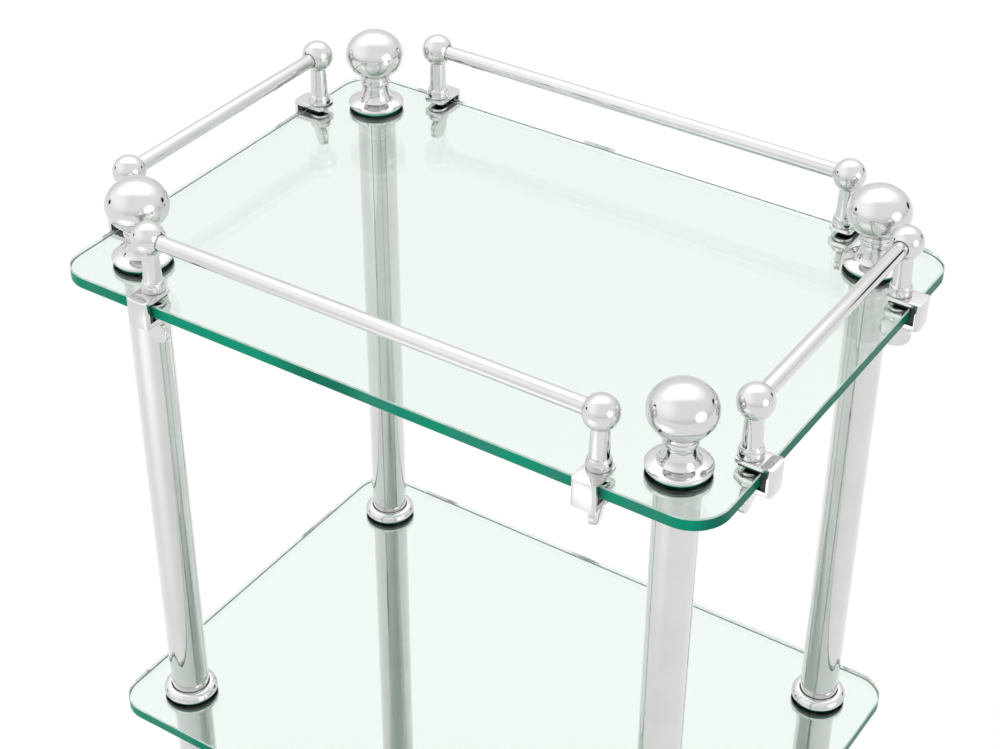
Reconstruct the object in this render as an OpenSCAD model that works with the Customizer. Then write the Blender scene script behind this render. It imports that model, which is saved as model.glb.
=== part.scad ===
// Three-tier glass serving trolley: ball-topped tubular posts, clamped gallery rails and swivel casters.
// Millimetres. +X runs along the long side, +Y to the back, +Z up, from the floor under the middle.

/* [Shelves] */
// Length of each glass shelf, left to right
shelf_l = 430; // [380:5:520]
// Width of each glass shelf, front to back
shelf_w = 300; // [280:5:400]
// Thickness of the glass
glass_t = 8; // [6:1:10]
// Radius of the shelf corners, seen from above
corner_r = 22; // [15:1:30]
// Step from one shelf to the next
tier_pitch = 342; // [250:1:400]
// Height of the underside of the bottom shelf
bottom_shelf_z = 80; // [78:1:110]

/* [Posts] */
// Outer diameter of the post tube
tube_d = 25; // [22:1:28]
// Wall thickness of the post tube
tube_wall = 1.2; // [1:0.1:2]
// Distance from the glass end to the post centre
post_inset_x = 37; // [34:0.5:45]
// Distance from the glass long edge to the post centre
post_inset_y = 35.5; // [34:0.5:45]
// Diameter of the flange on the head of each post
flange_d = 36; // [32:1:38]

/* [Finials] */
// Width of the flattened ball
finial_ball_d = 37.6; // [30:0.2:38]
// Height of the flattened ball
finial_ball_h = 31.8; // [26:0.2:34]
// Height of the ball centre above the glass
finial_ball_z = 36.2; // [35:0.1:40]

/* [Gallery rails] */
// Diameter of the gallery rail
rail_d = 9.2; // [7:0.1:10]
// Diameter of the ball that holds each rail end
rail_ball_d = 20; // [18:0.5:22]
// Height of the rail centre line above the glass
rail_z = 37.5; // [34:0.5:45]
// Distance from the glass edge in to the rail centre line
rail_inset = 9.5; // [9:0.5:11]
// Distance from the middle to each pillar on the long rails
long_rail_reach = 146.5; // [100:0.5:150]
// Distance from the middle to each pillar on the short rails
short_rail_reach = 90; // [60:0.5:92]

/* [Edge clamps] */
// Width of a clamp jaw along the glass edge
jaw_w = 14.6; // [13:0.2:16]
// How far the jaw stands out past the glass edge
jaw_out = 6.8; // [6:0.1:8]
// How far the jaw reaches in over the glass
jaw_in = 16; // [16:0.5:18]
// Thickness of the jaw's upper plate
jaw_top_t = 2.4; // [2:0.1:3]
// Thickness of the jaw's lower arm
jaw_arm_t = 3.1; // [3:0.1:4]
// Thickness of the rubber liner on the glass
liner_t = 1.6; // [1:0.1:2]
// Width of the thumb wing on the clamp screw
wing_w = 19; // [14:0.5:20]
// Height of the thumb wing
wing_h = 14.4; // [10:0.2:16]

/* [Casters] */
// Diameter of the caster wheel
wheel_d = 50; // [40:1:50]
// Width of the wheel at its hub
hub_w = 16.4; // [14:0.2:17]
// Horizontal distance from the swivel axis to the axle
caster_trail = 16; // [12:0.5:18]

/* [Hidden] */

// Tier heights: the underside of each shelf and its upper face
middle_shelf_z = bottom_shelf_z + tier_pitch;
top_shelf_z = bottom_shelf_z + 2 * tier_pitch;
glass_undersides = [bottom_shelf_z, middle_shelf_z, top_shelf_z];
top_face_z = top_shelf_z + glass_t;
half_l = shelf_l / 2;
half_w = shelf_w / 2;
post_x = half_l - post_inset_x;
post_y = half_w - post_inset_y;

// Extra length of every cut, and the overlap between shapes that are joined
cut = 1;
join = 0.5;

// Post joints
tube_r = tube_d / 2;
bore_r = tube_r - tube_wall;
flange_r = flange_d / 2;
flange_t = 2.5;
flange_root = 1.4;
flange_step = 1;
gasket_t = 1.5;
gasket_r = flange_r - 0.4;
washer_r = flange_r - 1.5;
gasket_bore_r = 4.5;
stud_r = 4;
glass_hole_r = 6;
plug_h = 20;
stud_bite = 17;
stud_in_finial = 13;
ring_r = 17.9;
ring_bore_r = tube_r + 0.3;
ring_h = 5.5;
ring_foot = 0.6;
ring_lip = 0.6;

// Finial profile, radius and height above the glass
ball_a = finial_ball_d / 2;
ball_b = finial_ball_h / 2;
crease_r = 11.8;
crease_z = 5.4;
neck_r = 8.5;
neck_z = 14.6;
flare_power = 2.4;
flare_steps = 5;
bead_r = 9.7;
bead_z = 16.7;
bead_h = 2.4;
bead_slope = 0.5;
ball_steps = 20;
ball_start = asin(bead_r / ball_a) - 90;

// Rail pillar profile
rail_r = rail_d / 2;
rail_ball_r = rail_ball_d / 2;
stem_r = 5;
stem_low_r = 5.6;
foot_r = 7.1;
foot_h = 6.6;
foot_tuck = 1;
foot_round = 1.2;
stem_into_ball = 6;
rail_socket = 5;
spigot_r = 2.5;
liner_hole_r = spigot_r + 0.3;

// Clamp, heights measured from the upper face of the glass
jaw_top = liner_t + jaw_top_t;
pad_gap = 0.1;
pad_t = 1.8;
pad_r = 6;
pad_travel = 1;
pad_top = -glass_t - pad_gap;
pad_bottom = pad_top - pad_t;
arm_top = pad_bottom - 0.3;
arm_bottom = arm_top - jaw_arm_t;
recess_r = pad_r + 0.3;
recess_h = pad_travel;
liner_back = 3.3;
liner_half = jaw_w / 2 - 0.8;
nose_round = 2.6;
jaw_corner = 1.6;
crown_r = 46;
screw_r = 3;
screw_hole_r = screw_r + 0.08;
tip_r = 2.45;
tip_socket_r = tip_r + 0.06;
tip_h = 0.8;
tip_gap = 0.1;
head_r = 6.7;
head_h = 3.3;
head_gap = 0.4;
head_top = arm_bottom - head_gap;
wing_t = 4;
// Plan angle at which each wing came to rest when its screw was tightened
wing_angles = [168, 102, 101, 104, 75, 145, 98, 14];

// Caster
wheel_r = wheel_d / 2;
tyre_w = 14.5;
tyre_round = 3.4;
hub_r = 7.5;
web_r = 17;
web_w = 9;
axle_r = 3;
axle_bore_r = axle_r + 0.05;
axle_head_r = 5;
axle_head_t = 1.8;
fork_gap = hub_w / 2 + 0.4;
fork_t = 2.4;
fork_plate_r = 15;
fork_plate_t = 3;
fork_plate_z = wheel_d + 4.5;
cup_r = 12.5;
cup_h = 3.6;
pivot_r = 4;
pivot_bore_r = pivot_r + 0.06;
swivel_gap = 0.3;
pivot_head_r = 7;
pivot_head_t = 2;
leg_top_w = 20;
leg_top_back = 3;
leg_shoulder = 6;
leg_eye_r = 7;
leg_front_angle = 40;
leg_back_angle = 15;
leg_overlap = 1;
hub_bottom_z = fork_plate_z + fork_plate_t + cup_h + swivel_gap;

$fn = 96;

// A corner of the trolley: sx is -1 at the left and 1 at the right, sy is -1 at the front and 1 at the back
module at_post(sx, sy, z = 0) {
    translate([sx * post_x, sy * post_y, z]) children();
}

module at_posts(z = 0) {
    for (sx = [-1, 1])
        for (sy = [-1, 1])
            at_post(sx, sy, z) children();
}

// Turn that brings the front edge round to a side, its distance from the middle, and its pillars' places
function is_long(side) = side == "front" || side == "back";
function edge_turn(side) = side == "front" ? 0 : side == "back" ? 180 : side == "left" ? -90 : 90;
function edge_reach(side) = is_long(side) ? half_w : half_l;
function pillar_reach(side) = is_long(side) ? long_rail_reach : short_rail_reach;

// Places a clamp piece: x runs along the glass edge, y inwards from it, z up from the glass face
module on_edge(side, along) {
    rotate([0, 0, edge_turn(side)]) translate([along, -edge_reach(side), top_face_z]) children();
}

module both_ends(side) {
    for (end = [-1, 1])
        on_edge(side, end * pillar_reach(side)) children();
}

module tube(outer, inner, h) {
    difference() {
        cylinder(r = outer, h = h);
        translate([0, 0, -cut]) cylinder(r = inner, h = h + 2 * cut);
    }
}

// Glass shelf with rounded corners and one stud hole at each post
module shelf_outline() {
    square([shelf_l - 2 * corner_r, shelf_w], center = true);
    square([shelf_l, shelf_w - 2 * corner_r], center = true);
    for (sx = [-1, 1])
        for (sy = [-1, 1])
            translate([sx * (half_l - corner_r), sy * (half_w - corner_r)]) circle(r = corner_r);
}

module glass_shelf(z) {
    color([0.86, 0.95, 0.91, 0.45])
    difference() {
        translate([0, 0, z]) linear_extrude(height = glass_t) shelf_outline();
        at_posts(z - cut) cylinder(r = glass_hole_r, h = glass_t + 2 * cut);
    }
}

// Finial: a low flange, a flared neck with a bead, and a flattened ball
function finial_profile() = concat(
    [[0, gasket_t], [flange_r - 0.6, gasket_t], [flange_r - 0.1, gasket_t + 0.5]],
    [[flange_r, gasket_t + 1.1], [flange_r - 0.5, gasket_t + 1.7], [flange_r - 3, gasket_t + 2.8]],
    [for (i = [0 : flare_steps])
        let (rise = i / flare_steps)
        [neck_r + (crease_r - neck_r) * pow(1 - rise, flare_power), crease_z + (neck_z - crease_z) * rise]],
    [[neck_r, bead_z - bead_slope]],
    [[bead_r, bead_z], [bead_r, bead_z + bead_h]],
    [[neck_r, bead_z + bead_h + bead_slope], [neck_r, bead_z + bead_h + 4 * bead_slope]],
    [for (i = [0 : ball_steps])
        let (a = ball_start + i * (90 - ball_start) / ball_steps)
        [i == ball_steps ? 0 : ball_a * cos(a), finial_ball_z + ball_b * sin(a)]]
);

module finial(sx, sy) {
    color([0.86, 0.85, 0.84])
    at_post(sx, sy, top_face_z)
    difference() {
        rotate_extrude() polygon(finial_profile());
        translate([0, 0, gasket_t - cut]) cylinder(r = stud_r, h = stud_in_finial + gasket_t + cut);
    }
}

// Post section: a tube with a flange brazed to its head, standing on the gasket of the shelf below
module post(sx, sy, z) {
    foot = z + glass_t + gasket_t;
    head = z + tier_pitch - gasket_t;
    color([0.82, 0.81, 0.79])
    at_post(sx, sy)
    difference() {
        union() {
            translate([0, 0, foot]) cylinder(r = tube_r, h = head - foot);
            translate([0, 0, head - flange_t]) cylinder(r = flange_r, h = flange_t);
            translate([0, 0, head - flange_t - flange_root])
                cylinder(r = tube_r + flange_step, h = flange_root + join);
        }
        translate([0, 0, foot - cut]) cylinder(r = bore_r, h = head - foot + 2 * cut);
    }
}

// Plug brazed into each tube end, threaded for the stud
module post_plugs() {
    color([0.55, 0.55, 0.56])
    for (z = [bottom_shelf_z, middle_shelf_z])
        for (low = [z + glass_t + gasket_t, z + tier_pitch - gasket_t - plug_h])
            at_posts(low) tube(bore_r, stud_r, plug_h);
}

// Studs that join a post to the finial or the post above it, through the glass
module threaded_studs() {
    color([0.6, 0.6, 0.61]) {
        at_posts(top_shelf_z - gasket_t - stud_bite)
            cylinder(r = stud_r, h = stud_bite + 2 * gasket_t + glass_t + stud_in_finial);
        at_posts(middle_shelf_z - gasket_t - stud_bite)
            cylinder(r = stud_r, h = 2 * stud_bite + 2 * gasket_t + glass_t);
    }
}

// Turned ring, domed from the tube down to the glass, slipped over the tube
module ring_collar() {
    reach = ring_r - ring_bore_r - ring_lip;
    rotate_extrude() polygon(concat(
        [[ring_bore_r, 0], [ring_r, 0]],
        [for (a = [0 : 10 : 90])
            [ring_r - reach * (1 - cos(a)), ring_foot + (ring_h - ring_foot) * sin(a)]],
        [[ring_bore_r, ring_h]]
    ));
}

module ring_collars() {
    color([0.86, 0.85, 0.84]) {
        for (z = [bottom_shelf_z, middle_shelf_z])
            at_posts(z + glass_t + gasket_t) ring_collar();
        at_posts(bottom_shelf_z - gasket_t) mirror([0, 0, 1]) ring_collar();
    }
}

// Liner: rubber between the jaw and the upper face and edge of the glass
module clamp_liner() {
    difference() {
        translate([-liner_half, 0, 0]) cube([2 * liner_half, jaw_in - nose_round, liner_t]);
        translate([0, rail_inset, -cut]) cylinder(r = liner_hole_r, h = liner_t + 2 * cut);
    }
    translate([-liner_half, -liner_back, arm_top]) cube([2 * liner_half, liner_back, liner_t - arm_top]);
}

// Gaskets under every shelf and smaller washers on it at each post, and the liners of the eight clamps
module rubber_gaskets() {
    color([0.10, 0.12, 0.11]) {
        for (z = glass_undersides) {
            at_posts(z - gasket_t) tube(gasket_r, gasket_bore_r, gasket_t);
            at_posts(z + glass_t) tube(washer_r, gasket_bore_r, gasket_t);
        }
        for (side = ["front", "back", "left", "right"])
            both_ends(side) clamp_liner();
    }
}

// Plan of the jaw: a slightly crowned outer face with rounded corners, and a rounder nose
module jaw_plan() {
    half = jaw_w / 2;
    straight = jaw_out + jaw_in - jaw_corner - nose_round;
    intersection() {
        union() {
            translate([-half, jaw_corner - jaw_out]) square([jaw_w, straight]);
            translate([jaw_corner - half, -jaw_out]) square([jaw_w - 2 * jaw_corner, jaw_out]);
            translate([nose_round - half, 0]) square([jaw_w - 2 * nose_round, jaw_in]);
            for (sx = [-1, 1]) {
                translate([sx * (half - jaw_corner), jaw_corner - jaw_out]) circle(r = jaw_corner);
                translate([sx * (half - nose_round), jaw_in - nose_round]) circle(r = nose_round);
            }
        }
        translate([0, crown_r - jaw_out]) circle(r = crown_r);
    }
}

module clamp_jaw() {
    difference() {
        translate([0, 0, arm_bottom]) linear_extrude(height = jaw_top - arm_bottom) jaw_plan();
        translate([-jaw_w, -liner_back, arm_top]) cube([2 * jaw_w, 2 * jaw_in, liner_t - arm_top]);
        translate([0, rail_inset, 0]) cylinder(r = spigot_r, h = jaw_top + cut);
        translate([0, rail_inset, arm_bottom - cut]) cylinder(r = screw_hole_r, h = jaw_arm_t + 2 * cut);
        translate([0, rail_inset, arm_top - recess_h]) cylinder(r = recess_r, h = recess_h + cut);
    }
}

module clamp_jaws(side) {
    color([0.86, 0.85, 0.84]) both_ends(side) clamp_jaw();
}

// Pillar: bell foot and tapered stem under a ball that is drilled for the rail, facing its partner
module rail_pillar(faces) {
    foot = jaw_top;
    stem_top = rail_z - stem_into_ball;
    translate([0, rail_inset, 0])
    difference() {
        union() {
            rotate_extrude() polygon(concat(
                [[0, liner_t], [spigot_r, liner_t], [spigot_r, foot], [foot_r - foot_tuck, foot]],
                [for (a = [0 : 15 : 75])
                    [stem_low_r + (foot_r - stem_low_r) * cos(a),
                     foot + foot_round + (foot_h - foot_round) * sin(a)]],
                [[stem_low_r, foot + foot_h], [stem_r, stem_top], [0, stem_top]]
            ));
            translate([0, 0, rail_z]) sphere(r = rail_ball_r);
        }
        translate([faces * rail_socket, 0, rail_z])
            rotate([0, faces * 90, 0]) cylinder(r = rail_r, h = rail_ball_r);
    }
}

module rail_pillars(side) {
    color([0.86, 0.85, 0.84])
    for (end = [-1, 1])
        on_edge(side, end * pillar_reach(side)) rail_pillar(-end);
}

module rail(side) {
    span = 2 * (pillar_reach(side) - rail_socket);
    color([0.90, 0.89, 0.88])
    on_edge(side, 0)
    translate([-span / 2, rail_inset, rail_z]) rotate([0, 90, 0]) cylinder(r = rail_r, h = span);
}

// Metal pad pressed up against the underside of the glass by the tip of the wing screw
module pressure_pad(side, along) {
    color([0.84, 0.83, 0.82])
    on_edge(side, along) translate([0, rail_inset, pad_bottom])
    difference() {
        cylinder(r = pad_r, h = pad_t);
        translate([0, 0, -cut]) cylinder(r = tip_socket_r, h = cut + tip_h + tip_gap);
    }
}

module wing_outline() {
    translate([0, wing_h / 2]) scale([wing_w / wing_h, 1]) circle(d = wing_h);
}

// Thumb screw: tip, shank, round head and an oval wing below the clamp; angle is the wing's plan angle
module wing_screw(side, along, angle) {
    shank_top = pad_bottom - tip_gap;
    color([0.84, 0.83, 0.82])
    on_edge(side, along) translate([0, rail_inset, 0]) rotate([0, 0, angle - edge_turn(side)]) {
        translate([0, 0, shank_top - join]) cylinder(r = tip_r, h = join + tip_gap + tip_h);
        translate([0, 0, head_top - join]) cylinder(r = screw_r, h = shank_top - head_top + join);
        translate([0, 0, head_top - head_h]) cylinder(r = head_r, h = head_h);
        translate([0, wing_t / 2, head_top - head_h + join]) rotate([90, 0, 0]) mirror([0, 1, 0])
            linear_extrude(height = wing_t) wing_outline();
    }
}

// Caster stem: screws up into the bottom post through the glass, with the pivot that carries the fork
module caster_stems() {
    top = bottom_shelf_z - gasket_t;
    plate = fork_plate_z - swivel_gap;
    color([0.80, 0.79, 0.78])
    at_posts() {
        translate([0, 0, top - join]) cylinder(r = stud_r, h = join + 2 * gasket_t + glass_t + stud_bite);
        translate([0, 0, hub_bottom_z]) cylinder(r = tube_r, h = top - hub_bottom_z);
        translate([0, 0, plate - join]) cylinder(r = pivot_r, h = hub_bottom_z - plate + 2 * join);
        translate([0, 0, plate - pivot_head_t]) cylinder(r = pivot_head_r, h = pivot_head_t);
    }
}

// One cheek of the fork, from the swivel plate down and back to the axle eye
module fork_cheek() {
    front = leg_top_w / 2;
    front_x = leg_eye_r * cos(leg_front_angle) - caster_trail;
    back_x = -leg_eye_r * cos(leg_back_angle) - caster_trail;
    back_z = leg_eye_r * sin(leg_back_angle);
    rotate([90, 0, 0]) translate([0, 0, -fork_t / 2])
    linear_extrude(height = fork_t)
    difference() {
        union() {
            polygon([
                [-front - leg_top_back, fork_plate_z + leg_overlap], [front, fork_plate_z + leg_overlap],
                [front, fork_plate_z - leg_shoulder],
                [front_x, wheel_r - leg_eye_r * sin(leg_front_angle)],
                [back_x, wheel_r - back_z], [back_x, wheel_r + back_z]
            ]);
            translate([-caster_trail, wheel_r]) circle(r = leg_eye_r);
        }
        translate([-caster_trail, wheel_r]) circle(r = axle_r);
    }
}

module caster_fork(sx, sy) {
    color([0.84, 0.83, 0.82])
    at_post(sx, sy)
    difference() {
        union() {
            translate([0, 0, fork_plate_z]) cylinder(r = fork_plate_r, h = fork_plate_t);
            translate([0, 0, fork_plate_z + leg_overlap])
                cylinder(r = cup_r, h = fork_plate_t + cup_h - leg_overlap);
            for (side = [-1, 1])
                translate([0, side * (fork_gap + fork_t / 2), 0]) fork_cheek();
        }
        translate([0, 0, fork_plate_z - cut]) cylinder(r = pivot_bore_r, h = fork_plate_t + cup_h + 2 * cut);
    }
}

// Axle riveted through both cheeks
module caster_axle(sx, sy) {
    outer = fork_gap + fork_t;
    color([0.78, 0.77, 0.76])
    at_post(sx, sy) translate([-caster_trail, 0, wheel_r]) rotate([90, 0, 0]) {
        translate([0, 0, -outer - join]) cylinder(r = axle_r, h = 2 * (outer + join));
        for (end = [-outer - axle_head_t, outer])
            translate([0, 0, end]) cylinder(r = axle_head_r, h = axle_head_t);
    }
}

// Moulded wheel: hub, web and rounded tread in one piece
module caster_wheel(sx, sy) {
    half_t = tyre_w / 2;
    half_h = hub_w / 2;
    half_web = web_w / 2;
    edge = wheel_r - tyre_round;
    right = concat(
        [[axle_bore_r, half_h], [hub_r, half_h], [hub_r, half_web], [web_r, half_web], [web_r, half_t]],
        [for (a = [90 : -15 : 0]) [edge + tyre_round * cos(a), half_t - tyre_round * (1 - sin(a))]]
    );
    left = [for (i = [len(right) - 1 : -1 : 0]) [right[i][0], -right[i][1]]];
    color([0.16, 0.16, 0.17])
    at_post(sx, sy) translate([-caster_trail, 0, wheel_r]) rotate([90, 0, 0])
        rotate_extrude() polygon(concat(right, left));
}

glass_shelf(top_shelf_z);  // glass_top
glass_shelf(middle_shelf_z);  // glass_middle
glass_shelf(bottom_shelf_z);  // glass_bottom

finial(-1, -1);  // finial_front_left
finial(1, -1);  // finial_front_right
finial(-1, 1);  // finial_back_left
finial(1, 1);  // finial_back_right

post(-1, -1, middle_shelf_z);  // upper_post_front_left
post(1, -1, middle_shelf_z);  // upper_post_front_right
post(-1, 1, middle_shelf_z);  // upper_post_back_left
post(1, 1, middle_shelf_z);  // upper_post_back_right

post(-1, -1, bottom_shelf_z);  // lower_post_front_left
post(1, -1, bottom_shelf_z);  // lower_post_front_right
post(-1, 1, bottom_shelf_z);  // lower_post_back_left
post(1, 1, bottom_shelf_z);  // lower_post_back_right

rail("front");  // rail_front
rail("back");  // rail_back
rail("left");  // rail_left
rail("right");  // rail_right

rail_pillars("front");  // rail_pillars_front
rail_pillars("back");  // rail_pillars_back
rail_pillars("left");  // rail_pillars_left
rail_pillars("right");  // rail_pillars_right

clamp_jaws("front");  // clamp_jaws_front
clamp_jaws("back");  // clamp_jaws_back
clamp_jaws("left");  // clamp_jaws_left
clamp_jaws("right");  // clamp_jaws_right

wing_screw("front", -long_rail_reach, wing_angles[0]);  // wing_screw_front_left
wing_screw("front", long_rail_reach, wing_angles[1]);  // wing_screw_front_right
wing_screw("back", long_rail_reach, wing_angles[2]);  // wing_screw_back_left
wing_screw("back", -long_rail_reach, wing_angles[3]);  // wing_screw_back_right
wing_screw("left", short_rail_reach, wing_angles[4]);  // wing_screw_left_front
wing_screw("left", -short_rail_reach, wing_angles[5]);  // wing_screw_left_back
wing_screw("right", -short_rail_reach, wing_angles[6]);  // wing_screw_right_front
wing_screw("right", short_rail_reach, wing_angles[7]);  // wing_screw_right_back

pressure_pad("front", -long_rail_reach);  // pressure_pad_front_left
pressure_pad("front", long_rail_reach);  // pressure_pad_front_right
pressure_pad("back", long_rail_reach);  // pressure_pad_back_left
pressure_pad("back", -long_rail_reach);  // pressure_pad_back_right
pressure_pad("left", short_rail_reach);  // pressure_pad_left_front
pressure_pad("left", -short_rail_reach);  // pressure_pad_left_back
pressure_pad("right", -short_rail_reach);  // pressure_pad_right_front
pressure_pad("right", short_rail_reach);  // pressure_pad_right_back

caster_fork(-1, -1);  // caster_fork_front_left
caster_fork(1, -1);  // caster_fork_front_right
caster_fork(-1, 1);  // caster_fork_back_left
caster_fork(1, 1);  // caster_fork_back_right

caster_axle(-1, -1);  // caster_axle_front_left
caster_axle(1, -1);  // caster_axle_front_right
caster_axle(-1, 1);  // caster_axle_back_left
caster_axle(1, 1);  // caster_axle_back_right

caster_wheel(-1, -1);  // caster_wheel_front_left
caster_wheel(1, -1);  // caster_wheel_front_right
caster_wheel(-1, 1);  // caster_wheel_back_left
caster_wheel(1, 1);  // caster_wheel_back_right

threaded_studs();
rubber_gaskets();
ring_collars();
post_plugs();
caster_stems();
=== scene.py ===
import math

import bmesh
import bpy
from mathutils import Matrix, Vector
from mathutils.geometry import tessellate_polygon


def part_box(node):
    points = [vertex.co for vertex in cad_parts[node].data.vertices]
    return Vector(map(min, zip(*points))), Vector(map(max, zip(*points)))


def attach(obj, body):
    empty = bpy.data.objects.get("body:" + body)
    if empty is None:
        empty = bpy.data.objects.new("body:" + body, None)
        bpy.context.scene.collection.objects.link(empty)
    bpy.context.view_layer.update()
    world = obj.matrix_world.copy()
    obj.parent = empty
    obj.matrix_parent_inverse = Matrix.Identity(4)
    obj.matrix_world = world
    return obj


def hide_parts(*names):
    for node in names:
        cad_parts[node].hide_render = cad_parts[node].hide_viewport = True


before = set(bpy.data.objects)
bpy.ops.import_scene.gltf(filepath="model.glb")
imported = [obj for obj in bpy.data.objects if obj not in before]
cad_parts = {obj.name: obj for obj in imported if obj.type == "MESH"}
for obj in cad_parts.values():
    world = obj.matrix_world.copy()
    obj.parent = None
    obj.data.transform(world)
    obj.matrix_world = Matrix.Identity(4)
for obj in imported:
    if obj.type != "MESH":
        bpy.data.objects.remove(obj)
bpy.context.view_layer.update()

# A three-tier glass trolley with ball finials, clamped gallery rails and swivel casters.
# Shapes are worked out in millimetres and turned into metres when a piece is made.
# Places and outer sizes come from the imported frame.
MM = 0.001
CORNERS = ("front_left", "front_right", "back_left", "back_right")
SIDES = {"front": 0, "back": 180, "left": -90, "right": 90}
CLAMPS = CORNERS + ("left_front", "left_back", "right_front", "right_back")


def mm_box(node):
    """Lowest and highest corner of a CAD node, in millimetres."""
    low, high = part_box(node)
    return low / MM, high / MM


def middle(node):
    low, high = mm_box(node)
    return (low + high) / 2


# ---------------------------------------------------------------- sizes read from the frame

shelf_boxes = {tier: mm_box(f"glass_{tier}") for tier in ("top", "middle", "bottom")}
HALF_L = shelf_boxes["top"][1].x
HALF_W = shelf_boxes["top"][1].y
GLASS_T = shelf_boxes["top"][1].z - shelf_boxes["top"][0].z
TOP_FACE = shelf_boxes["top"][1].z
POST_AT = {corner: middle(f"upper_post_{corner}") for corner in CORNERS}
PAD_AT = {place: middle(f"pressure_pad_{place}") for place in CLAMPS}
RAIL_Z = middle("rail_front").z - TOP_FACE
RAIL_R = (mm_box("rail_front")[1].z - mm_box("rail_front")[0].z) / 2
RAIL_INSET = PAD_AT["front_left"].y + HALF_W
JAW_LOW, JAW_HIGH = mm_box("clamp_jaws_front")
JAW_OUT = -HALF_W - JAW_LOW.y
JAW_IN = JAW_HIGH.y + HALF_W
JAW_TOP = JAW_HIGH.z - TOP_FACE
JAW_BOTTOM = JAW_LOW.z - TOP_FACE
SCREW_LOW = mm_box("wing_screw_front_left")[0].z - TOP_FACE

# ---------------------------------------------------------------- detail sizes

CORNER_R = 22
ARRIS = 0.7
HOLE_R = 6
TUBE_R = 12.5
TUBE_BORE_R = 11.3
FLANGE_R = 18
FLANGE_T = 2.5
GASKET_T = 1.5
GASKET_R = 17.6
WASHER_R = 16.5
GASKET_BORE = 4.5
BALL_A = 18.8
BALL_B = 15.9
BALL_Z = 36.2
RAIL_BALL_R = 10
SOCKET = 5
STEM_R = 5
STEM_LOW_R = 5.6
FOOT_R = 7.1
FOOT_H = 6.6
FOOT_ROUND = 1.2
LINER_T = 1.6
LINER_BACK = 3.3
LINER_MARGIN = 0.8
JAW_W = 14.6
JAW_CORNER = 1.6
NOSE_ROUND = 2.6
ARM_T = 3.1
PAD_R = 6
PAD_T = 1.8
PAD_GAP = 0.1
PAD_SOCKET_R = 2.5
PAD_SOCKET_H = 0.95
SHANK_R = 3
THREAD_DEPTH = 0.35
TIP_R = 2.45
TIP_H = 0.9
HEAD_R = 6.7
HEAD_H = 3.3
HEAD_GAP = 0.4
WING_W = 19
WING_T = 4
WHEEL_R = 25
HUB_HALF = 8.2
FORK_T = 2.4


# ---------------------------------------------------------------- outlines and meshes

def fillet(points, steps=4):
    """Rounds an outline's corners. A point is (x, y), or (x, y, radius) where it is rounded."""
    rounded = []
    for i, point in enumerate(points):
        corner = Vector(point[:2])
        if len(point) == 2:
            rounded.append((corner.x, corner.y))
            continue
        radius = point[2]
        before = (Vector(points[i - 1][:2]) - corner).normalized()
        after = (Vector(points[(i + 1) % len(points)][:2]) - corner).normalized()
        half = before.angle(after) / 2
        centre = corner + (before + after).normalized() * radius / math.sin(half)
        start = corner + before * radius / math.tan(half) - centre
        end = corner + after * radius / math.tan(half) - centre
        first = math.atan2(start.y, start.x)
        sweep = (math.atan2(end.y, end.x) - first + math.pi) % math.tau - math.pi
        for k in range(steps + 1):
            angle = first + sweep * k / steps
            rounded.append((centre.x + radius * math.cos(angle), centre.y + radius * math.sin(angle)))
    return rounded


def bend(start, pull, end, steps=8):
    """Points of a smooth curve from start to end that leans towards pull, without its two ends."""
    curve = []
    for k in range(1, steps):
        t = k / steps
        weights = ((1 - t) ** 2, 2 * t * (1 - t), t * t)
        curve.append(tuple(sum(w * p[i] for w, p in zip(weights, (start, pull, end))) for i in (0, 1)))
    return curve


def arc(centre, radii, first, last, steps):
    """Points along an ellipse between two angles in degrees."""
    angles = [math.radians(first + (last - first) * k / steps) for k in range(steps + 1)]
    return [(centre[0] + radii[0] * math.cos(a), centre[1] + radii[1] * math.sin(a)) for a in angles]


def add_face(bm, corners, material=0):
    """Adds a face through the given vertices, leaving out repeats."""
    face = bm.faces.new(list(dict.fromkeys(corners)))
    face.material_index = material


def lathe(bm, outline, place=Matrix(), steps=72, ring=False):
    """Turns an outline of (radius, height) points about Z. A ring's outline closes on itself."""
    rows = []
    for radius, height in outline:
        turns = [math.tau * k / steps for k in range(steps if radius > 1e-6 else 1)]
        spots = [Vector((radius * math.cos(a), radius * math.sin(a), height)) for a in turns]
        rows.append([bm.verts.new(place @ spot) for spot in spots])
    following = rows[1:] + rows[:1] if ring else rows[1:]
    for low, high in zip(rows, following):
        for i in range(steps):
            j = (i + 1) % steps
            add_face(bm, [low[i % len(low)], low[j % len(low)], high[j % len(high)], high[i % len(high)]])


def plate(bm, outline, low, high, place=Matrix()):
    """Extrudes a flat outline from one height to another."""
    under = [bm.verts.new(place @ Vector((x, y, low))) for x, y in outline]
    over = [bm.verts.new(place @ Vector((x, y, high))) for x, y in outline]
    add_face(bm, under[::-1])
    add_face(bm, over)
    for i in range(len(outline)):
        j = (i + 1) % len(outline)
        add_face(bm, [under[i], under[j], over[j], over[i]])


def soften(bm, width, steps=3, least=25):
    """Rounds every edge whose two faces meet at more than the least angle, in degrees."""
    bmesh.ops.recalc_face_normals(bm, faces=bm.faces)
    edges = [e for e in bm.edges if e.is_manifold and e.calc_face_angle(0) > math.radians(least)]
    bmesh.ops.bevel(bm, geom=edges, offset=width, segments=steps, profile=0.5, affect="EDGES",
                    clamp_overlap=True)


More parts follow.
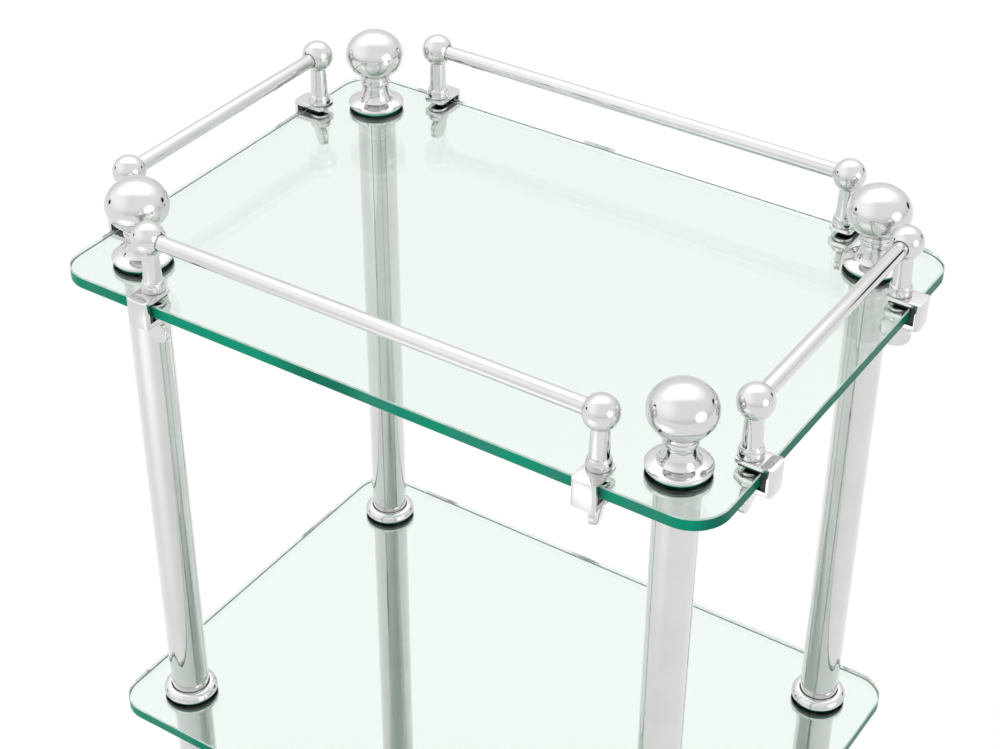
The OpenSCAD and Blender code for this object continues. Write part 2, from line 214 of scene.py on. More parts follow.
def cut_away(solid, cutter):
    """Takes the cutter's solid out of the other one and returns what is left."""
    pair = []
    for bm in (solid, cutter):
        bmesh.ops.recalc_face_normals(bm, faces=bm.faces)
        mesh = bpy.data.meshes.new("bench")
        bm.to_mesh(mesh)
        bm.free()
        pair.append(bpy.data.objects.new("bench", mesh))
        bpy.context.scene.collection.objects.link(pair[-1])
    boolean = pair[0].modifiers.new("cut", "BOOLEAN")
    boolean.object = pair[1]
    boolean.solver = "EXACT"
    left = bmesh.new()
    left.from_object(pair[0], bpy.context.evaluated_depsgraph_get())
    for obj in pair:
        bpy.data.meshes.remove(obj.data)
    return left


def copy_into(bm, template, places):
    """Adds a copy of a template mesh to bm at each place, and frees the template."""
    mesh = bpy.data.meshes.new("bench")
    template.to_mesh(mesh)
    template.free()
    for place in places:
        start = len(bm.verts)
        bm.from_mesh(mesh)
        bm.verts.ensure_lookup_table()
        bmesh.ops.transform(bm, matrix=place, verts=bm.verts[start:])
    bpy.data.meshes.remove(mesh)


def make_piece(name, bm, body, materials, replaces=(), sharp=32):
    """Turns a mesh in millimetres into a piece in metres that rides on a body."""
    bmesh.ops.recalc_face_normals(bm, faces=bm.faces)
    bmesh.ops.scale(bm, vec=(MM, MM, MM), verts=bm.verts)
    mesh = bpy.data.meshes.new(name)
    bm.to_mesh(mesh)
    bm.free()
    mesh.shade_smooth()
    mesh.set_sharp_from_angle(angle=math.radians(sharp))
    for material in materials:
        mesh.materials.append(material)
    piece = bpy.data.objects.new(name, mesh)
    bpy.context.scene.collection.objects.link(piece)
    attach(piece, body)
    if replaces:
        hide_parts(*replaces)
    return piece


# ---------------------------------------------------------------- materials

def add_node(tree, kind, settings=None, **inputs):
    """Adds a node. Settings are its own properties; inputs are values or sockets, by socket name."""
    node = tree.nodes.new(kind)
    for key, value in (settings or {}).items():
        setattr(node, key, value)
    for key, value in inputs.items():
        socket = node.inputs[int(key[1:]) if key[1:].isdigit() and key[0] == "i" else key.replace("_", " ")]
        if isinstance(value, bpy.types.NodeSocket):
            tree.links.new(value, socket)
        else:
            socket.default_value = value
    return node


def start_material(name, **inputs):
    """A new material with one Principled shader, whose plain values are set on its own sockets."""
    material = bpy.data.materials.new(name)
    material.use_nodes = True
    tree = material.node_tree
    tree.nodes.clear()
    shader = add_node(tree, "ShaderNodeBsdfPrincipled", **inputs)
    add_node(tree, "ShaderNodeOutputMaterial", Surface=shader.outputs[0])
    return material, tree, shader


def mottle(tree, scale, detail=3.0, stretch=(1, 1, 1)):
    """A noise value fixed to the piece, with scale in waves per metre."""
    where = add_node(tree, "ShaderNodeTexCoord").outputs["Object"]
    spread = add_node(tree, "ShaderNodeMapping", Vector=where, Scale=stretch).outputs[0]
    return add_node(tree, "ShaderNodeTexNoise", Vector=spread, Scale=scale, Detail=detail).outputs[0]


def between(tree, value, low, high, start=0.3, end=0.7):
    """Spreads a value from the range start to end over the range low to high."""
    settings = {"interpolation_type": "SMOOTHSTEP"}
    ramp = add_node(tree, "ShaderNodeMapRange", settings, i0=value, i1=start, i2=end, i3=low, i4=high)
    return ramp.outputs[0]


def tone_between(tree, value, start, end):
    """Blends by a value from a colour socket to a colour."""
    mix = add_node(tree, "ShaderNodeMix", {"data_type": "RGBA"}, i0=value, i6=start, i7=(*end, 1))
    return mix.outputs[2]


def tone(tree, value, dark, light):
    """Blends from one colour to another by a value."""
    return tone_between(tree, value, (*dark, 1), light)


def relief(tree, value, strength, depth):
    """A bump from a height value, with its depth in metres."""
    return add_node(tree, "ShaderNodeBump", Strength=strength, Distance=depth, Height=value).outputs[0]


def polished_nickel():
    material, tree, shader = start_material("polished_nickel", Metallic=1.0)
    cloud = between(tree, mottle(tree, 38), 0, 1)
    smear = mottle(tree, 260, stretch=(1, 1, 0.25))
    colour = tone(tree, cloud, (0.655, 0.651, 0.645), (0.685, 0.681, 0.675))
    tree.links.new(colour, shader.inputs["Base Color"])
    tree.links.new(between(tree, smear, 0.03, 0.07), shader.inputs["Roughness"])
    tree.links.new(relief(tree, mottle(tree, 90, detail=1), 0.06, 0.0002), shader.inputs["Normal"])
    return material


def clear_glass():
    tint = (0.80, 0.875, 0.83, 1)
    material, tree, shader = start_material(
        "clear_glass", Base_Color=tint, Transmission_Weight=1.0, IOR=1.5)
    tree.links.new(between(tree, mottle(tree, 6), 0.0, 0.006), shader.inputs["Roughness"])
    tree.links.new(relief(tree, mottle(tree, 5, detail=1), 0.02, 0.0006), shader.inputs["Normal"])
    return material


def green_edge():
    """The polished edge: deep green from outside, plain glass to light that meets it from inside.

    The green is deeper at the plate's two ends, where light has come through its whole length.
    """
    material, tree, shader = start_material("green_glass_edge", Roughness=0.1, Specular_IOR_Level=0.04)
    # Painted reflection: slow noise along the edge shifts the green between darker and lighter, standing in
    # for the posts reflected in the edge.
    painted_reflection_drift = between(tree, mottle(tree, 7, detail=1), 0, 1, 0.38, 0.62)
    body = tone(tree, painted_reflection_drift, (0.002, 0.15, 0.09), (0.002, 0.26, 0.155))
    patch = between(tree, mottle(tree, 22, detail=2), 0, 1, 0.55, 0.68)
    facing = add_node(tree, "ShaderNodeTexCoord").outputs["Normal"]
    lengthwise = add_node(tree, "ShaderNodeSeparateXYZ", i0=facing).outputs[0]
    at_end = add_node(tree, "ShaderNodeMath", {"operation": "ABSOLUTE"}, i0=lengthwise).outputs[0]
    # Painted reflection: lighter green patches where a finer noise is high.
    body = tone_between(tree, patch, body, (0.02, 0.22, 0.15))
    body = tone_between(tree, between(tree, at_end, 0, 1, 0.4, 0.95), body, (0.004, 0.12, 0.08))
    tree.links.new(body, shader.inputs["Base Color"])
    inside = add_node(tree, "ShaderNodeBsdfPrincipled", Base_Color=(0.75, 0.93, 0.86, 1),
                      Transmission_Weight=1.0, IOR=1.5, Roughness=0.0)
    behind = add_node(tree, "ShaderNodeNewGeometry").outputs["Backfacing"]
    both = add_node(tree, "ShaderNodeMixShader", i0=behind, i1=shader.outputs[0], i2=inside.outputs[0])
    output = next(n for n in tree.nodes if n.type == "OUTPUT_MATERIAL")
    tree.links.new(both.outputs[0], output.inputs["Surface"])
    return material


def ground_arris():
    """The narrow bevel between face and edge, ground to a pale grey green."""
    material, tree, shader = start_material("ground_glass_arris", Roughness=0.45, Specular_IOR_Level=0.4)
    grain = between(tree, mottle(tree, 120), 0, 1)
    tree.links.new(tone(tree, grain, (0.36, 0.47, 0.41), (0.50, 0.62, 0.55)), shader.inputs["Base Color"])
    tree.links.new(relief(tree, mottle(tree, 2500), 0.2, 0.00004), shader.inputs["Normal"])
    return material


def soft_rubber(name, shade, roughness, grain=900):
    material, tree, shader = start_material(name, Specular_IOR_Level=0.35)
    dust = mottle(tree, 140)
    light = tuple(1.7 * c for c in shade)
    tree.links.new(tone(tree, between(tree, dust, 0, 1), shade, light), shader.inputs["Base Color"])
    tree.links.new(between(tree, dust, roughness, roughness + 0.15), shader.inputs["Roughness"])
    tree.links.new(relief(tree, mottle(tree, grain), 0.25, 0.00008), shader.inputs["Normal"])
    return material


def machined_steel():
    material, tree, shader = start_material("machined_steel", Metallic=1.0)
    streak = mottle(tree, 500, stretch=(1, 1, 0.1))
    colour = tone(tree, between(tree, streak, 0, 1), (0.42, 0.42, 0.43), (0.60, 0.60, 0.61))
    tree.links.new(colour, shader.inputs["Base Color"])
    tree.links.new(between(tree, streak, 0.28, 0.42), shader.inputs["Roughness"])
    where = add_node(tree, "ShaderNodeTexCoord").outputs["Object"]
    thread = add_node(tree, "ShaderNodeTexWave", {"bands_direction": "Z"}, Vector=where, Scale=250.0)
    tree.links.new(relief(tree, thread.outputs[1], 0.5, 0.0004), shader.inputs["Normal"])
    return material


NICKEL = polished_nickel()
GLASS = clear_glass()
EDGE = green_edge()
BEVEL = ground_arris()
RUBBER = soft_rubber("black_rubber", (0.018, 0.032, 0.024), 0.4)
GASKET = soft_rubber("green_black_gasket", (0.05, 0.10, 0.065), 0.4)
WASHER = soft_rubber("green_washer", (0.10, 0.45, 0.32), 0.25)
TREAD = soft_rubber("tread_rubber", (0.022, 0.022, 0.024), 0.55, grain=600)
STEEL = machined_steel()


# ---------------------------------------------------------------- glass shelves

def shelf_outline(inset, height):
    """The rounded rectangle of a shelf, set in from its edge, as vertices' places."""
    radius = CORNER_R - inset
    points = []
    for turn, (sx, sy) in enumerate(((1, 1), (-1, 1), (-1, -1), (1, -1))):
        centre = (sx * (HALF_L - CORNER_R), sy * (HALF_W - CORNER_R))
        points += arc(centre, (radius, radius), 90 * turn, 90 * turn + 90, 14)
    return [Vector((x, y, height)) for x, y in points]


def hole_outline(corner, radius, height):
    at = POST_AT[corner]
    return [Vector((x, y, height)) for x, y in arc((at.x, at.y), (radius, radius), 0, 352.5, 47)]


def glass_shelf(tier):
    low, high = (corner.z for corner in shelf_boxes[tier])
    levels = ((ARRIS, low), (0, low + ARRIS), (0, high - ARRIS), (ARRIS, high))
    bm = bmesh.new()
    loops = [[shelf_outline(inset, z) for inset, z in levels]]
    loops += [[hole_outline(corner, HOLE_R + inset, z) for inset, z in levels] for corner in CORNERS]
    rings = [[[bm.verts.new(p) for p in outline] for outline in loop] for loop in loops]
    for loop in rings:
        for (under, over), material in zip(zip(loop, loop[1:]), (2, 1, 2)):
            for i in range(len(under)):
                j = (i + 1) % len(under)
                add_face(bm, [under[i], under[j], over[j], over[i]], material)
    for level in (0, -1):
        flat = [loop[level] for loop in rings]
        verts = [v for outline in flat for v in outline]
        for triangle in tessellate_polygon([[v.co for v in outline] for outline in flat]):
            add_face(bm, [verts[i] for i in triangle])
    make_piece(f"shelf_{tier}", bm, "root", (GLASS, EDGE, BEVEL), (f"glass_{tier}",))


# ---------------------------------------------------------------- posts and finials

def finial_outline():
    """Radius and height above the glass: flange, crease, flared neck, bead and flattened ball."""
    crease, neck, bead, bead_low, bead_high = (11.8, 5.4), (8.5, 14.6), 9.7, 16.3, 19.5
    outline = fillet([(0, GASKET_T), (FLANGE_R - 0.3, GASKET_T, 0.25), (FLANGE_R, 2.5, 0.5),
                      (FLANGE_R - 0.4, 3.1)])
    outline += bend((FLANGE_R - 0.4, 3.1), (15.4, 4.5), crease)
    outline += [crease, (crease[0] - 0.1, crease[1] + 0.2)]
    outline += bend(outline[-1], (9.2, 8.2), neck, 12)
    outline += fillet([neck, (neck[0], bead_low, 0.2), (bead - 0.3, bead_low, 0.3),
                       (bead, bead_low + 1.6, 1.2), (bead - 0.3, bead_high, 0.3),
                       (neck[0] + 0.2, bead_high, 0.2), (neck[0] + 0.2, 22)], steps=3)
    start = math.degrees(math.asin((neck[0] + 0.2) / BALL_A)) - 90
    ball = arc((0, BALL_Z), (BALL_A, BALL_B), start, 90, 40)
    ball[-1] = (0, BALL_Z + BALL_B)
    return outline[:-1] + ball


def finial(corner):
    at = POST_AT[corner]
    bm = bmesh.new()
    lathe(bm, finial_outline(), Matrix.Translation((at.x, at.y, TOP_FACE)), steps=96)
    make_piece(f"ball_finial_{corner}", bm, "root", (NICKEL,), (f"finial_{corner}",))


def post(tier, corner):
    node = f"{tier}_post_{corner}"
    low, high = mm_box(node)
    at = POST_AT[corner]
    head = high.z
    outline = fillet([
        (TUBE_BORE_R, low.z, 0.2), (TUBE_R, low.z, 0.3), (TUBE_R, head - FLANGE_T - 1.4, 0.4),
        (TUBE_R + 1, head - FLANGE_T - 1.4, 0.3), (TUBE_R + 1, head - FLANGE_T, 0.3),
        (FLANGE_R, head - FLANGE_T, 0.5), (FLANGE_R, head, 0.5), (TUBE_BORE_R, head, 0.2)], steps=3)
    bm = bmesh.new()
    lathe(bm, outline, Matrix.Translation((at.x, at.y, 0)), ring=True)
    make_piece(f"{tier}_tube_{corner}", bm, "root", (NICKEL,), (node,))


def ring_collars():
    """Domed rings where the tubes meet the middle and bottom shelves, and under the bottom one."""
    bore, outer, tall, foot, lip = TUBE_R + 0.3, 17.9, 5.5, 0.6, 0.6
    dome = arc((bore + lip, foot), (outer - bore - lip, tall - foot), 0, 90, 14)
    outline = fillet([(bore, tall, 0.2), (bore, 0, 0.15), (outer - 0.05, 0, 0.25), *dome])
    bm = bmesh.new()
    for corner in CORNERS:
        at = POST_AT[corner]
        for tier in ("middle", "bottom"):
            over = shelf_boxes[tier][1].z + GASKET_T
            lathe(bm, outline, Matrix.Translation((at.x, at.y, over)), ring=True)
        under = Matrix.Translation((at.x, at.y, shelf_boxes["bottom"][0].z - GASKET_T))
        lathe(bm, outline, under @ Matrix.Scale(-1, 4, (0, 0, 1)), ring=True)
    make_piece("turned_rings", bm, "root", (NICKEL,), ("ring_collars",))


def ring_set(radius, grooved, heights):
    """Flat rings at every post, at the given heights; a grooved one shows the seam of its two layers."""
    seam = [(radius, GASKET_T / 2 - 0.15), (radius - 0.2, GASKET_T / 2), (radius, GASKET_T / 2 + 0.15)]
    wall = seam if grooved else []
    outline = fillet([(GASKET_BORE, GASKET_T, 0.2), (GASKET_BORE, 0, 0.2), (radius, 0, 0.25), *wall,
                      (radius, GASKET_T, 0.25)])
    bm = bmesh.new()
    for corner in CORNERS:
        at = POST_AT[corner]
        for height in heights:
            lathe(bm, outline, Matrix.Translation((at.x, at.y, height)), ring=True)
    return bm


# ---------------------------------------------------------------- gallery rails and clamps

def clamp_place(place, height=0):
    """Frame of a clamp: origin on the pillar axis at the top face, X along the edge, Y inwards."""
    at = PAD_AT[place]
    turn = math.radians(SIDES[place.split("_")[0]])
    return Matrix.Translation((at.x, at.y, TOP_FACE + height)) @ Matrix.Rotation(turn, 4, "Z")


def side_clamps(side):
    return [place for place in CLAMPS if place.startswith(side + "_")]


def rail(side):
    low, high = mm_box(f"rail_{side}")
    span = max(high.x - low.x, high.y - low.y)
    centre = (low + high) / 2
    lie = Matrix.Rotation(math.radians(SIDES[side]), 4, "Z") @ Matrix.Rotation(math.pi / 2, 4, "Y")
    outline = fillet([(0, -span / 2), (RAIL_R, -span / 2, 0.4), (RAIL_R, span / 2, 0.4), (0, span / 2)])
    bm = bmesh.new()
    lathe(bm, outline, Matrix.Translation(centre) @ lie, steps=48)
    make_piece(f"rail_bar_{side}", bm, "root", (NICKEL,), (f"rail_{side}",))


def pillar(bm, place, faces):
    """A turned foot and stem, and the ball drilled for the rail. faces is 1 if the rail runs to +X."""
    foot = JAW_TOP
    joint = RAIL_Z - math.sqrt(RAIL_BALL_R ** 2 - STEM_R ** 2)
    widest = foot + FOOT_ROUND
    seat = (FOOT_R - 1, foot)
    stem = [(0, foot), seat]
    stem += bend(seat, (FOOT_R, foot + 0.1), (FOOT_R, widest), 5)
    stem += arc((STEM_LOW_R, widest), (FOOT_R - STEM_LOW_R, FOOT_H - FOOT_ROUND), 0, 80, 12)
    stem += fillet([(STEM_LOW_R, foot + FOOT_H), (STEM_R, joint - 0.2, 0.3),
                    (STEM_R - 0.6, joint + 0.3), (0, joint + 0.3)])
    lathe(bm, stem, place, steps=56)
    bore = RAIL_R + 0.12
    mouth = math.degrees(math.asin((bore + 0.3) / RAIL_BALL_R))
    ball = [(0, SOCKET), (bore, SOCKET)]
    ball += [(bore, math.sqrt(RAIL_BALL_R ** 2 - (bore + 0.3) ** 2) - 0.3)]
    ball += arc((0, 0), (RAIL_BALL_R, RAIL_BALL_R), 90 - mouth, -90, 36)
    ball[-1] = (0, -RAIL_BALL_R)
    lie = Matrix.Translation((0, 0, RAIL_Z)) @ Matrix.Rotation(faces * math.pi / 2, 4, "Y")
    lathe(bm, ball, place @ lie, steps=64)


def rail_pillars(side):
    bm = bmesh.new()
    for place in side_clamps(side):
        spot = clamp_place(place)
        along = (spot.inverted() @ Vector((0, 0, TOP_FACE))).x
        pillar(bm, spot, 1 if along > 0 else -1)
    make_piece(f"pillar_pair_{side}", bm, "root", (NICKEL,), (f"rail_pillars_{side}",))


def rounding(x, half, radius):
    """How far a rounded corner falls back from the end line at x."""
    past = max(0, abs(x) - (half - radius))
    return radius - math.sqrt(max(0, radius ** 2 - past ** 2))


def jaw_template():
    """The C-shaped clamp, its outer face crowned and its nose rounded, bored for the screw and pad."""
    half = JAW_W / 2
    edge = -RAIL_INSET
    slot_low = JAW_BOTTOM + ARM_T
    crown, nose = 46, NOSE_ROUND
    front, wall, back = edge - JAW_OUT, edge - LINER_BACK, edge + JAW_IN
    side_view = [
        (front, JAW_BOTTOM), (back, JAW_BOTTOM), (back, slot_low), (wall, slot_low),
        (wall, LINER_T), (back, LINER_T), (back, JAW_TOP), (front, JAW_TOP)]
    bm = bmesh.new()
    rows = []
    stations = [half * math.sin(math.radians(a)) for a in range(-90, 91, 10)]
    for x in stations:
        bulge = crown - math.sqrt(crown ** 2 - x ** 2) + rounding(x, half, JAW_CORNER)
        pulled = rounding(x, half, nose)
        row = []
        for y, z in side_view:
            shift = bulge if y == front else -pulled if y == back else 0
            row.append(bm.verts.new((x, y + shift, z)))
        rows.append(row)
    for row, after in zip(rows, rows[1:]):
        for i in range(len(side_view)):
            j = (i + 1) % len(side_view)
            add_face(bm, [row[i], row[j], after[j], after[i]])
    add_face(bm, rows[0][::-1])
    add_face(bm, rows[-1])
    soften(bm, 0.55, least=40)
    cutter = bmesh.new()
    lathe(cutter, [(0, JAW_BOTTOM - 2), (SHANK_R + 0.08, JAW_BOTTOM - 2), (SHANK_R + 0.08, slot_low - 1),
                   (PAD_R + 0.3, slot_low - 1), (PAD_R + 0.3, slot_low + 2), (0, slot_low + 2)], steps=40)
    return cut_away(bm, cutter)


def clamp_jaws(side):
    bm = bmesh.new()
    copy_into(bm, jaw_template(), [clamp_place(place) for place in side_clamps(side)])
    make_piece(f"clamp_pair_{side}", bm, "root", (NICKEL,), (f"clamp_jaws_{side}",))


def liner(bm, place):
    """The rubber that lies on the glass under the upper jaw and turns down over its edge."""
    half = JAW_W / 2 - LINER_MARGIN
    edge = -RAIL_INSET
    inner = edge + JAW_IN - NOSE_ROUND
    outline = [(edge - LINER_BACK, JAW_BOTTOM + ARM_T), (edge, JAW_BOTTOM + ARM_T), (edge, 0),
               (inner, 0), (inner, LINER_T), (edge - LINER_BACK, LINER_T)]
    stand = Matrix(((0, 0, 1, 0), (1, 0, 0, 0), (0, 1, 0, 0), (0, 0, 0, 1)))
    strip = bmesh.new()
    plate(strip, outline, -half, half, stand)
    soften(strip, 0.2, steps=2)
    copy_into(bm, strip, [place])


def rubber_parts():
    over = [high.z for low, high in shelf_boxes.values()]
    under = [low.z - GASKET_T for low, high in shelf_boxes.values()]
    make_piece("gasket_rings", ring_set(GASKET_R, True, under), "root", (GASKET,),
               ("rubber_gaskets",))
    make_piece("washer_rings", ring_set(WASHER_R, False, over), "root", (WASHER,))
    bm = bmesh.new()
    for place in CLAMPS:
        liner(bm, clamp_place(place))
    make_piece("clamp_liners", bm, "root", (RUBBER,))


def wing_turn(place):
    """Plan angle of a wing at rest: the long axis of the low part of the CAD node's own mesh."""
    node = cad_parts[f"wing_screw_{place}"]
    at = PAD_AT[place] * MM
    low = (SCREW_LOW + WING_W / 4 + TOP_FACE) * MM
    offsets = [vertex.co.xy - at.xy for vertex in node.data.vertices if vertex.co.z < low]
    return math.atan2(sum(2 * o.x * o.y for o in offsets), sum(o.x ** 2 - o.y ** 2 for o in offsets)) / 2


def wing_screw(place):
    """Tip, threaded shank, round head and an oval wing with softened edges."""
    at = PAD_AT[place]
    pad_bottom = -GLASS_T - PAD_GAP - PAD_T
    head_top = JAW_BOTTOM - HEAD_GAP
    shank_top = pad_bottom - 0.1
    root_r = SHANK_R - THREAD_DEPTH
    pitch = 1.0
    thread = []
    for k in range(int((shank_top - head_top) / pitch)):
        foot = head_top + 0.2 + k * pitch
        thread += [(root_r, foot), (SHANK_R, foot + 0.4), (SHANK_R, foot + 0.5)]
    head_low = head_top - HEAD_H
    outline = fillet([(0, head_low), (HEAD_R, head_low, 1.3), (HEAD_R, head_top, 0.5),
                      (root_r, head_top)])
    outline += thread
    outline += [(root_r, shank_top), (TIP_R, shank_top), (TIP_R, shank_top + TIP_H), (0, shank_top + TIP_H)]
    bm = bmesh.new()
    spot = Matrix.Translation((at.x, at.y, TOP_FACE))
    lathe(bm, outline, spot, steps=56)
    half_h = (head_low + 0.5 - SCREW_LOW) / 2
    wing_outline = arc((0, SCREW_LOW + half_h), (WING_W / 2, half_h), 0, 355, 71)
    wing = bmesh.new()
    plate(wing, wing_outline, -WING_T / 2, WING_T / 2, Matrix.Rotation(math.pi / 2, 4, "X"))
    soften(wing, 0.7, steps=4, least=60)
    copy_into(bm, wing, [spot @ Matrix.Rotation(wing_turn(place), 4, "Z")])
    make_piece(f"thumb_screw_{place}", bm, f"screw_{place}", (NICKEL,),
               (f"wing_screw_{place}",))


def clamp_pad(place):
    """A round disc under the glass, with a socket below for the screw's tip."""
    at = PAD_AT[place]
    top = -GLASS_T - PAD_GAP
    socket_top = top - PAD_SOCKET_H
    outline = fillet([(0, socket_top), (PAD_SOCKET_R, socket_top), (PAD_SOCKET_R, top - PAD_T),
                      (PAD_R, top - PAD_T, 0.3), (PAD_R, top, 0.3), (0, top)])
    bm = bmesh.new()
    lathe(bm, outline, Matrix.Translation((at.x, at.y, TOP_FACE)), steps=48)
    make_piece(f"clamp_pad_{place}", bm, f"pad_{place}", (NICKEL,),
               (f"pressure_pad_{place}",))


# ---------------------------------------------------------------- casters

def caster_stem_parts():
    """The nickel hub under each bottom post with its pivot, and the stud that runs up through the glass."""
    low = mm_box("caster_stems")[0].z
    high = mm_box("caster_stems")[1].z
    shelf_low = shelf_boxes["bottom"][0].z
    hub_low = 61.4
    outline = fillet([
        (0, low), (7, low, 0.4), (7, low + 2, 0.3), (4, low + 2), (4, hub_low), (TUBE_R, hub_low, 0.8),
        (TUBE_R, shelf_low - GASKET_T, 0.3), (4, shelf_low - GASKET_T), (4, high, 0.6), (0, high)])
    bm = bmesh.new()
    for corner in CORNERS:
        lathe(bm, outline, Matrix.Translation((POST_AT[corner].x, POST_AT[corner].y, 0)))
    make_piece("caster_hubs", bm, "root", (NICKEL,), ("caster_stems",))


def axle_place(corner):
    """Frame on a wheel's axle, with Z along it."""
    at = middle(f"caster_wheel_{corner}")
    return Matrix.Translation((at.x, at.y, WHEEL_R)) @ Matrix.Rotation(math.pi / 2, 4, "X")


def caster_fork(corner):
    at = POST_AT[corner]
    trail = at.x - middle(f"caster_wheel_{corner}").x
    cup_top = mm_box(f"caster_fork_{corner}")[1].z
    plate_z, plate_top = 54.5, 57.5
    inner = HUB_HALF + 0.4
    eye = 7
    cup = fillet([(4.06, plate_z), (15, plate_z, 0.5), (15, plate_top, 1.2), (12.5, plate_top + 0.6, 0.5),
                  (12.5, cup_top, 1.4), (4.06, cup_top, 0.3)])
    bm = bmesh.new()
    lathe(bm, cup, Matrix.Translation((at.x, at.y, 0)), ring=True)
    side_view = [(-13, plate_z + 1), (10, plate_z + 1), (10, plate_z - 6, 6)]
    side_view += [(eye * math.cos(math.radians(40)) - trail, WHEEL_R - eye * math.sin(math.radians(40)))]
    rounded = arc((-trail, WHEEL_R), (eye, eye), -40, -195, 16)
    outline = fillet(side_view, steps=6)[:-1] + rounded
    for side in (-1, 1):
        cheek = bmesh.new()
        aside = Matrix.Translation((0, side * (inner + FORK_T / 2), 0))
        upright = Matrix.Rotation(math.pi / 2, 4, "X")
        plate(cheek, outline, -FORK_T / 2, FORK_T / 2, aside @ upright)
        soften(cheek, 0.5, least=40)
        copy_into(bm, cheek, [Matrix.Translation((at.x, at.y, 0))])
    make_piece(f"fork_{corner}", bm, f"swivel_{corner}", (NICKEL,),
               (f"caster_fork_{corner}",))


def caster_axle(corner):
    outer = HUB_HALF + 0.4 + FORK_T
    half = fillet([(3, 0), (3, outer), (5, outer, 0.3), (5, outer + 1.8, 1.2), (0, outer + 1.8)])[1:]
    outline = [(r, -z) for r, z in reversed(half)] + half
    bm = bmesh.new()
    lathe(bm, outline, axle_place(corner), steps=40)
    make_piece(f"axle_rivet_{corner}", bm, f"swivel_{corner}", (NICKEL,),
               (f"caster_axle_{corner}",))


def caster_wheel(corner):
    """A rubber tyre with a rounded tread on a nickel disc with a hub."""
    seat, web_r, web_half, hub_r, half_w = 18.6, 17, 4.5, 7.5, 7.25
    tyre = fillet([(seat, -half_w, 0.5), (WHEEL_R, -half_w, 3.4), (WHEEL_R, half_w, 3.4),
                   (seat, half_w, 0.5)], steps=8)
    bm = bmesh.new()
    lathe(bm, tyre, axle_place(corner), steps=80, ring=True)
    make_piece(f"tyre_{corner}", bm, f"wheel_{corner}", (TREAD,),
               (f"caster_wheel_{corner}",))
    half = fillet([(3.05, 0), (3.05, HUB_HALF, 0.2), (hub_r, HUB_HALF, 0.7), (hub_r, web_half, 0.8),
                   (web_r, web_half, 1.0), (web_r, half_w, 0.3), (seat, half_w, 0.2), (seat, 0)])[1:-1]
    outline = [(r, -z) for r, z in reversed(half)] + half
    bm = bmesh.new()
    lathe(bm, outline, axle_place(corner), steps=80, ring=True)
    make_piece(f"wheel_disc_{corner}", bm, f"wheel_{corner}", (NICKEL,))


# ---------------------------------------------------------------- studio

def direction(azimuth, height):
    """Unit vector; azimuth 0 is +Y and grows towards +X, both in degrees."""
    a, h = math.radians(azimuth), math.radians(height)
    return Vector((math.sin(a) * math.cos(h), math.cos(a) * math.cos(h), math.sin(h)))


HEADING = -33.19
DIP = 35.27
ROLL = 0.31


def make_camera():
    """The viewpoint: from the front right, looking down at the top shelf."""
    camera = bpy.data.cameras.new("camera")
    camera.lens = 73.99
    camera.sensor_width = 36
    look = direction(HEADING, -DIP)
    right = direction(HEADING + 90, 0)
    rise = right.cross(look)
    roll = math.radians(ROLL)
    across = right * math.cos(roll) + rise * math.sin(roll)
    upward = rise * math.cos(roll) - right * math.sin(roll)
    axes = Matrix((across, upward, -look)).transposed().to_4x4()
    eye = Vector((0.5499, -0.8481, TOP_FACE * MM + 0.6347))
    stand = bpy.data.objects.new("camera", camera)
    stand.matrix_world = Matrix.Translation(eye) @ axes
    bpy.context.scene.collection.objects.link(stand)
    bpy.context.scene.camera = stand


def add_glow(tree, total, way, towards, inner, outer, strength):
    """Adds to the sky a soft round patch about a direction; the angles are its core and its rim."""
    settings = {"operation": "DOT_PRODUCT"}
    facing = add_node(tree, "ShaderNodeVectorMath", settings, i0=way, i1=towards).outputs[1]
    rim, core = math.cos(math.radians(outer)), math.cos(math.radians(inner))
    patch = between(tree, facing, 0, strength, rim, core)
    return add_node(tree, "ShaderNodeMath", {"operation": "ADD"}, i0=total, i1=patch).outputs[0]


def make_sky():
    """A pale studio: even walls, a wide soft box overhead, a small lamp to the right and two dark flags."""
    world = bpy.data.worlds.new("studio")
    bpy.context.scene.world = world
    world.use_nodes = True
    tree = world.node_tree
    tree.nodes.clear()
    way = add_node(tree, "ShaderNodeTexCoord").outputs["Generated"]
    height = add_node(tree, "ShaderNodeSeparateXYZ", i0=way).outputs[2]
    total = between(tree, height, 0.84, 1.05, -0.05, 0.5)
    glows = (
        (direction(HEADING - 40, 58), 3, 36, 0.35),
        (direction(HEADING, 68), 3, 38, 0.6),
        (direction(HEADING + 40, 58), 3, 36, 0.35),
        (direction(95, 12), 2, 22, 1.7),
        (direction(232, 20), 10, 60, 0.25),
        (direction(252, 6), 3, 8, -1.2),
        (direction(30, 6), 3, 9, -1.2),
    )
    for towards, inner, outer, strength in glows:
        total = add_glow(tree, total, way, towards, inner, outer, strength)
    floorless = add_node(tree, "ShaderNodeMath", {"operation": "MAXIMUM"}, i0=total, i1=0.02).outputs[0]
    seen = add_node(tree, "ShaderNodeLightPath").outputs["Is Camera Ray"]
    strength = add_node(tree, "ShaderNodeMix", i0=seen, i2=floorless, i3=1.0).outputs[0]
    sky = add_node(tree, "ShaderNodeBackground", Color=(1, 1, 1, 1), Strength=strength)
    add_node(tree, "ShaderNodeOutputWorld", Surface=sky.outputs[0])


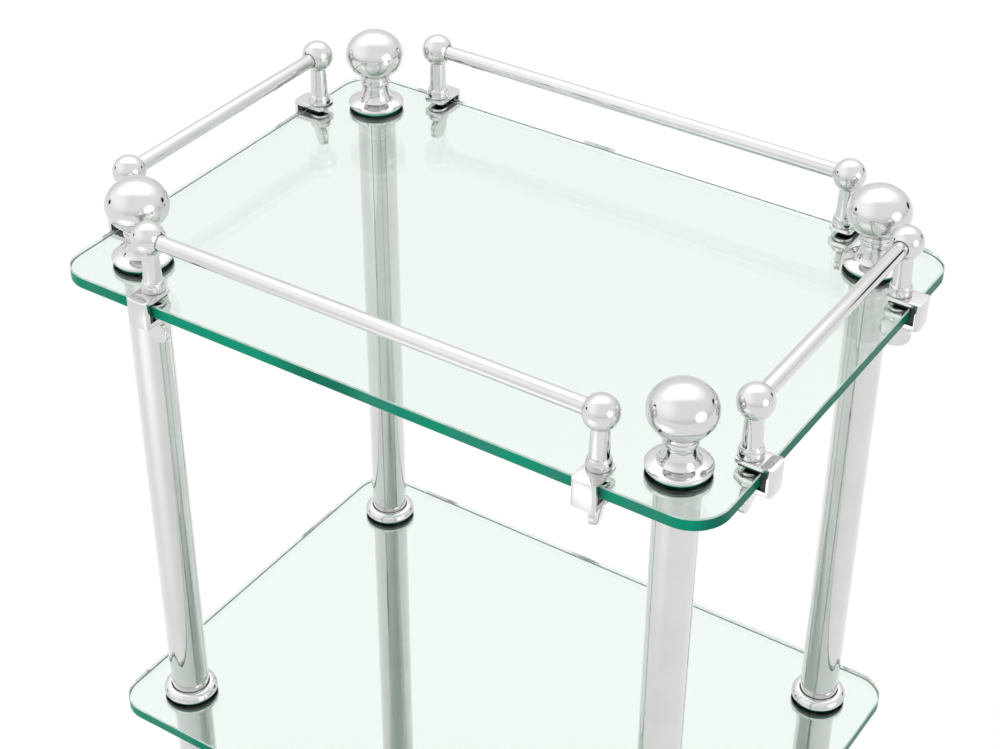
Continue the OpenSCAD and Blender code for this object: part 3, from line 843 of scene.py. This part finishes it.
def make_floor():
    """White studio paper, with a painted pool of light in front of the trolley: a patch that glows by
    emission, with no lamp shining there.
    """
    reach = 14
    bm = bmesh.new()
    bmesh.ops.create_grid(bm, x_segments=8, y_segments=8, size=reach)
    mesh = bpy.data.meshes.new("studio_floor")
    bm.to_mesh(mesh)
    bm.free()
    material, tree, shader = start_material(
        "studio_paper", Roughness=0.9, Specular_IOR_Level=0.1, Base_Color=(0.775, 0.775, 0.775, 1),
        Emission_Color=(1, 1, 1, 1))
    where = add_node(tree, "ShaderNodeTexCoord").outputs["Object"]
    # Painted pool of light: emission 0.5 within 0.15 m of this spot, fading to none at 0.8 m.
    patch = (-0.3, -1.15, 0)
    away = add_node(tree, "ShaderNodeVectorMath", {"operation": "DISTANCE"}, i0=where, i1=patch).outputs[1]
    tree.links.new(between(tree, away, 0.5, 0, 0.15, 0.8), shader.inputs["Emission Strength"])
    mesh.materials.append(material)
    floor = bpy.data.objects.new("studio_floor", mesh)
    bpy.context.scene.collection.objects.link(floor)


def add_softbox(name, towards, distance, size, watts):
    """A square area light aimed at the top shelf."""
    target = Vector((0, 0, TOP_FACE * MM))
    light = bpy.data.lights.new(name, "AREA")
    light.size = size
    light.energy = watts
    lamp = bpy.data.objects.new(name, light)
    lamp.location = target + towards * distance
    lamp.rotation_euler = (-towards).to_track_quat("-Z", "Y").to_euler()
    lamp.visible_camera = False
    lamp.visible_glossy = False
    bpy.context.scene.collection.objects.link(lamp)


def make_studio():
    bpy.context.scene.view_settings.view_transform = "Standard"
    make_camera()
    make_sky()
    make_floor()
    add_softbox("overhead_softbox", direction(HEADING, 62), 2.4, 1.3, 4)


# ---------------------------------------------------------------- assembly

make_studio()
for tier in shelf_boxes:
    glass_shelf(tier)
for corner in CORNERS:
    finial(corner)
    post("upper", corner)
    post("lower", corner)
ring_collars()
rubber_parts()
for side in SIDES:
    rail(side)
    rail_pillars(side)
    clamp_jaws(side)
for place in CLAMPS:
    wing_screw(place)
    clamp_pad(place)
caster_stem_parts()
for corner in CORNERS:
    caster_fork(corner)
    caster_axle(corner)
    caster_wheel(corner)
for name in ("threaded_studs", "post_plugs"):
    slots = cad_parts[name].data.materials
    slots.clear()
    slots.append(STEEL)
